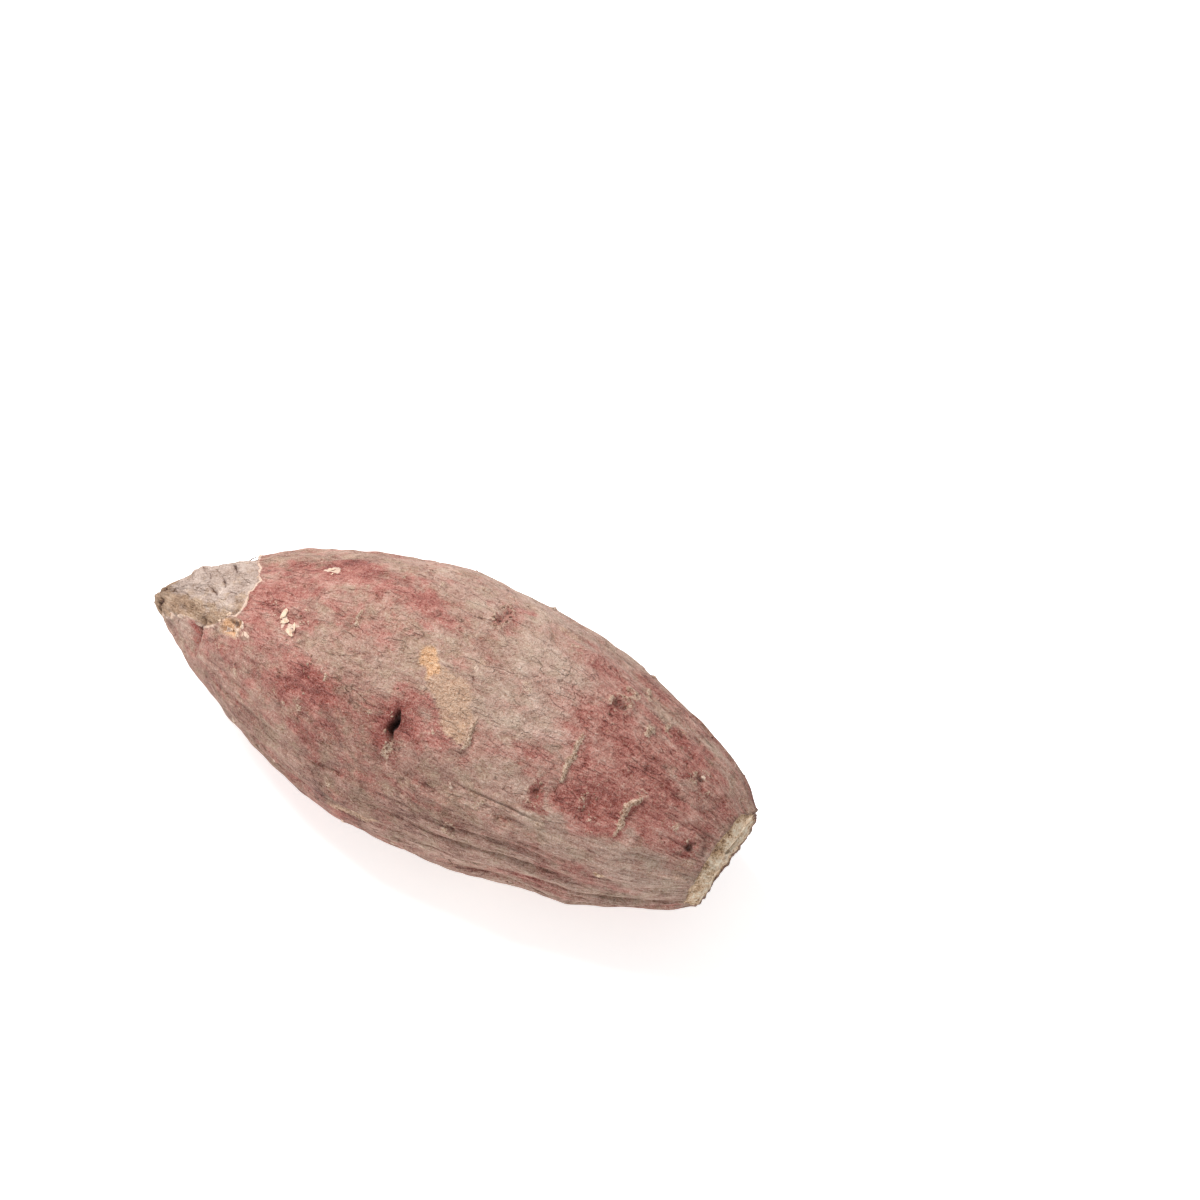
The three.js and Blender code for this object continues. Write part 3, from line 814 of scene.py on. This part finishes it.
def grain_solid(middle, up, across, size, chance):
    """A lumpy closed grain: points and faces."""
    side = np.cross(up, across)
    found, net = [], []
    for tilt in CRUMB_TILTS:
        for step in range(CRUMB_SIDES):
            spin = TURN * step / CRUMB_SIDES
            way = (math.cos(math.pi * tilt) * up * 0.75
                   + math.sin(math.pi * tilt) * (math.cos(spin) * across + math.sin(spin) * side))
            found.append(middle + size * chance.uniform(0.55, 1.25) * way)
    top, foot = len(found), len(found) + 1
    found += [middle + size * 0.5 * up, middle - size * 0.7 * up]
    for row in range(len(CRUMB_TILTS) - 1):
        for step in range(CRUMB_SIDES):
            a, b = row * CRUMB_SIDES + step, row * CRUMB_SIDES + (step + 1) % CRUMB_SIDES
            net.append((a, a + CRUMB_SIDES, b + CRUMB_SIDES, b))
    last_row = top - CRUMB_SIDES
    for step in range(CRUMB_SIDES):
        after = (step + 1) % CRUMB_SIDES
        net += [(top, step, after), (foot, last_row + after, last_row + step)]
    return found, net


def make_piece(name, solids, look, smooth=True):
    """One object from a list of closed solids."""
    all_points, all_faces = [], []
    for solid_points, solid_faces in solids:
        start = len(all_points)
        all_points += [tuple(np.array(point) * MM) for point in solid_points]
        all_faces += [tuple(start + corner for corner in face) for face in solid_faces]
    mesh = bpy.data.meshes.new(name)
    mesh.from_pydata(all_points, [], all_faces)
    mesh.polygons.foreach_set("use_smooth", [smooth] * len(mesh.polygons))
    mesh.materials.append(look)
    mesh.update()
    piece = bpy.data.objects.new(name, mesh)
    bpy.context.collection.objects.link(piece)
    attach(piece, "root")


def dry_look(name, dark_colour, light_colour):
    """A matte dry material, freckled between two colours."""
    made = bpy.data.materials.new(name)
    made.use_nodes = True
    tree = made.node_tree
    noise, blend = tree.nodes.new("ShaderNodeTexNoise"), tree.nodes.new("ShaderNodeValToRGB")
    where = tree.nodes.new("ShaderNodeTexCoord")
    noise.inputs["Scale"].default_value = 1500.0
    noise.inputs["Detail"].default_value = 3.0
    dark, light = blend.color_ramp.elements
    dark.position, dark.color = 0.36, (*dark_colour, 1)
    light.position, light.color = 0.64, (*light_colour, 1)
    shader = tree.nodes["Principled BSDF"]
    tree.links.new(where.outputs["Object"], noise.inputs["Vector"])
    tree.links.new(noise.outputs["Fac"], blend.inputs["Fac"])
    tree.links.new(blend.outputs["Color"], shader.inputs["Base Color"])
    shader.inputs["Roughness"].default_value = 0.85
    shader.inputs["Specular IOR Level"].default_value = 0.25
    return made


chance = np.random.default_rng(81)
# Darker and longer eyes have more crumbs. The last three are the pit, a scab low on the front and the knob.
# Place, degrees, half length, half width, slant, how many crumbs.
crumb_spots = [(place, degree, half_length, half_width, slant, int(10 * shade * half_length / 2) - 1)
               for place, degree, half_length, half_width, slant, depth, shade, lump in EYES]
crumb_spots += [(80, 48, 3.6, 1.3, 4, 14), (97, 60, 0.5, 0.5, 0, 2), (10, -22, 1.5, 1.5, 0, 4)]
brown_crumbs, pale_crumbs = [], []
for place, degree, half_length, half_width, slant, count in crumb_spots:
    for _ in range(count):
        spin, reach = chance.uniform(0, TURN), chance.uniform(0.75, 1.45)
        off_round = reach * (half_length + 0.3) * math.cos(spin)
        off_run = reach * (half_width + 0.3) * math.sin(spin)
        c, s = math.cos(math.radians(slant)), math.sin(math.radians(slant))
        ring_radius = float(np.interp(place, along[:tip_point], arc[:tip_point]))
        point, up = on_skin(place + s * off_round + c * off_run,
                            degree + math.degrees((c * off_round - s * off_run) / ring_radius))
        across = np.cross(up, [0.2, 0.4, 0.9])
        across /= np.linalg.norm(across)
        size = chance.uniform(*CRUMB_SIZES)
        crumb = grain_solid(point - 0.12 * size * up, up, across, size, chance)
        (brown_crumbs if chance.random() < BROWN_SHARE else pale_crumbs).append(crumb)
make_piece("brown_crumbs", brown_crumbs, dry_look("brown_cork", (0.11, 0.045, 0.03), (0.34, 0.2, 0.14)))
make_piece("pale_crumbs", pale_crumbs, dry_look("pale_cork", (0.28, 0.17, 0.12), (0.5, 0.36, 0.28)))

# ------------------------------------------------------------------------------
# Flakes of torn skin. They hang on at the crown's torn edge, by the hole under it and on the scabs:
# paper-thin scraps, dried cream and curled up at one end.
# ------------------------------------------------------------------------------
FLAKE_SIDES = 11


def laid_on_skin(place, degree, pointing):
    """A point of the skin, its facing, and the ways ahead and aside of a piece that points that way."""
    point, up = on_skin(place, degree)
    round_it = np.cross(up, [1.0, 0.0, 0.0])
    round_it /= np.linalg.norm(round_it)
    along_it = np.cross(round_it, up)
    c, s = math.cos(math.radians(pointing)), math.sin(math.radians(pointing))
    return point, up, c * round_it + s * along_it, c * along_it - s * round_it


# Place, degrees, length, width, the way that it points (degrees from straight round), curl.
FLAKES = [
    (27, 30, 2.4, 0.9, 70, 0.5), (29, 39, 2.6, 0.8, 95, 0.6), (32, 39, 2.0, 0.7, 130, 0.5),
    (33, 34, 1.8, 0.8, 40, 0.6), (31, 31, 1.5, 0.6, 100, 0.5), (34, 38, 1.3, 0.5, 10, 0.4),
    (43, 20, 2.6, 1.7, 20, 0.15), (44, 23, 3.0, 1.3, 75, 0.12), (46, 27, 3.2, 1.5, 110, 0.15),
    (47, 24, 2.4, 0.9, 140, 0.2), (46, -14, 2.0, 1.0, 85, 0.15), (47, -11, 1.2, 0.5, 60, 0.2),
    (31, 17, 1.6, 0.5, 20, 0.5), (30, 24, 1.8, 0.5, 5, 0.5), (25, 36, 2.0, 0.6, 60, 0.6),
    (21, 46, 1.8, 0.6, 50, 0.5), (14, 50, 1.8, 0.5, 100, 0.5), (9, 57, 1.6, 0.5, 80, 0.5),
    (28, -5, 1.3, 0.4, 10, 0.5), (24, -24, 1.5, 0.5, 20, 0.5), (20, -64, 1.8, 0.6, 15, 0.6),
    (18, -98, 1.8, 0.6, 10, 0.5), (13, -142, 1.8, 0.6, 0, 0.5), (50, -98, 2.2, 0.9, 10, 0.5),
    (88, -100, 1.8, 0.9, 30, 0.5), (118, -85, 2.0, 0.8, 60, 0.5), (133, 76, 1.3, 0.9, 30, 0.3),
]
flakes = []
for place, degree, length, width, pointing, curl in FLAKES:
    point, up, ahead, aside = laid_on_skin(place, degree, pointing)
    rim = []
    for step in range(FLAKE_SIDES):
        spin = TURN * step / FLAKE_SIDES
        reach = chance.uniform(0.5, 1.25)
        x, y = length / 2 * reach * math.cos(spin), width / 2 * reach * math.sin(spin)
        rise = curl * max(x / length + 0.15, 0) ** 2 * 3.0 + chance.uniform(-0.04, 0.07)
        rim.append(point + x * ahead + y * aside + (0.06 + rise) * up)
    found = rim + [point + 0.12 * up, point - 0.04 * up]
    net = [(step, (step + 1) % FLAKE_SIDES, FLAKE_SIDES) for step in range(FLAKE_SIDES)]
    net += [((step + 1) % FLAKE_SIDES, step, FLAKE_SIDES + 1) for step in range(FLAKE_SIDES)]
    flakes.append((found, net))
torn_skin = dry_look("torn_skin", (0.55, 0.37, 0.25), (0.8, 0.62, 0.47))
make_piece("torn_flakes", flakes, torn_skin, smooth=False)

# ------------------------------------------------------------------------------
# Broken root hairs: dry brown threads, thinner than a pin, that the fine roots have left on the skin.
# ------------------------------------------------------------------------------
# Place, degrees, length, pointing (degrees from straight round), thickness.
HAIRS = [
    (19, -40, 3.2, 20, 0.16), (43, 101, 2.6, 60, 0.14), (99, 108, 3.6, -30, 0.16),
    (63, 104, 2.2, 30, 0.12), (84, -42, 2.4, 160, 0.12), (34, 58, 2.6, 35, 0.1), (58, 30, 2.2, 70, 0.1),
    (108, 52, 2.0, 20, 0.1), (72, -74, 4.0, 150, 0.18), (119, -62, 3.4, 200, 0.16),
    (58, -128, 3.0, 120, 0.16), (98, -118, 3.6, 170, 0.16), (136, -100, 2.6, 150, 0.14),
    (38, -90, 3.0, 190, 0.15), (52, 120, 2.6, 10, 0.14), (112, 118, 3.0, 0, 0.14),
    (8, -70, 2.2, 150, 0.14), (4, 20, 1.6, 60, 0.14), (12, 62, 1.8, 10, 0.12),
    (147, -60, 2.0, 170, 0.12),
]
HAIR_SIDES, HAIR_STEPS = 5, 7
hairs = []
for place, degree, length, pointing, thickness in HAIRS:
    point, up, ahead, aside = laid_on_skin(place, degree, pointing)
    bend, stand = chance.uniform(-0.5, 0.5), chance.uniform(0.2, 0.6)
    found, net = [], []
    for step in range(HAIR_STEPS):
        share = step / (HAIR_STEPS - 1)
        middle = (point + length * share * ahead + length * bend * share ** 2 * aside
                  + (length * stand * share * (1 - 0.6 * share) - 0.1) * up)
        thick = thickness * (1.3 - 0.9 * share)
        for side in range(HAIR_SIDES):
            spin = TURN * side / HAIR_SIDES
            found.append(middle + thick * (math.cos(spin) * aside + math.sin(spin) * up))
    for step in range(HAIR_STEPS - 1):
        for side in range(HAIR_SIDES):
            a, b = step * HAIR_SIDES + side, step * HAIR_SIDES + (side + 1) % HAIR_SIDES
            net.append((a, b, b + HAIR_SIDES, a + HAIR_SIDES))
    top = (HAIR_STEPS - 1) * HAIR_SIDES
    net += [tuple(reversed(range(HAIR_SIDES))), tuple(range(top, top + HAIR_SIDES))]
    hairs.append((found, net))
make_piece("root_hairs", hairs, dry_look("dry_hair", (0.12, 0.07, 0.05), (0.3, 0.19, 0.13)))

# ------------------------------------------------------------------------------
# The table, the light and the camera. A plain white sheet, a broad soft light over the root's left
# shoulder, and an even white surround.
# ------------------------------------------------------------------------------
TABLE_HALF = 3.0
sheet_mesh = bpy.data.meshes.new("white_table")
corners = [(x * TABLE_HALF, y * TABLE_HALF, 0.0) for x, y in ((-1, -1), (1, -1), (1, 1), (-1, 1))]
sheet_mesh.from_pydata(corners, [], [(0, 1, 2, 3)])
white_table = bpy.data.objects.new("white_table", sheet_mesh)
bpy.context.collection.objects.link(white_table)
table_look = bpy.data.materials.new("white_paper")
table_look.use_nodes = True
paper = table_look.node_tree.nodes["Principled BSDF"]
paper.inputs["Base Color"].default_value = (0.9, 0.9, 0.9, 1)
paper.inputs["Roughness"].default_value = 0.9
paper.inputs["Emission Color"].default_value = (1, 1, 1, 1)
paper.inputs["Emission Strength"].default_value = 0.6
sheet_mesh.materials.append(table_look)

surround = bpy.data.worlds.new("soft_white")
surround.use_nodes = True
surround.node_tree.nodes["Background"].inputs["Color"].default_value = (1.0, 1.0, 1.0, 1)
surround.node_tree.nodes["Background"].inputs["Strength"].default_value = 0.53
bpy.context.scene.world = surround


def softbox(name, place, size, power):
    lamp = bpy.data.lights.new(name, "AREA")
    lamp.shape, lamp.size, lamp.energy = "DISK", size, power
    held = bpy.data.objects.new(name, lamp)
    held.location = place
    held.rotation_mode = "QUATERNION"
    held.rotation_quaternion = (-Vector(place)).to_track_quat("-Z", "Y")
    bpy.context.collection.objects.link(held)


softbox("key_softbox", (-0.45, 0.12, 1.0), 0.45, 12.5)

CAMERA_ROUND = math.radians(29)
CAMERA_UP = math.radians(52)
CAMERA_AWAY = 0.66
AIM_RIGHT, AIM_UP = 0.0368, 0.0243  # the root lies this far left of the frame's middle, and below it
back = Vector((math.sin(CAMERA_ROUND) * math.cos(CAMERA_UP), -math.cos(CAMERA_ROUND) * math.cos(CAMERA_UP),
               math.sin(CAMERA_UP)))
right = Vector((math.cos(CAMERA_ROUND), math.sin(CAMERA_ROUND), 0.0))
aim = Vector((0.0, 0.0, 0.031)) + AIM_RIGHT * right + AIM_UP * back.cross(right)
lens = bpy.data.cameras.new("camera")
lens.lens, lens.sensor_width = 85.0, 36.0
lens.clip_start, lens.clip_end = 0.01, 20.0
camera = bpy.data.objects.new("camera", lens)
camera.location = aim + CAMERA_AWAY * back
camera.rotation_mode = "QUATERNION"
camera.rotation_quaternion = back.to_track_quat("Z", "Y")
bpy.context.collection.objects.link(camera)
bpy.context.scene.camera = camera
bpy.context.scene.view_settings.view_transform = "Standard"
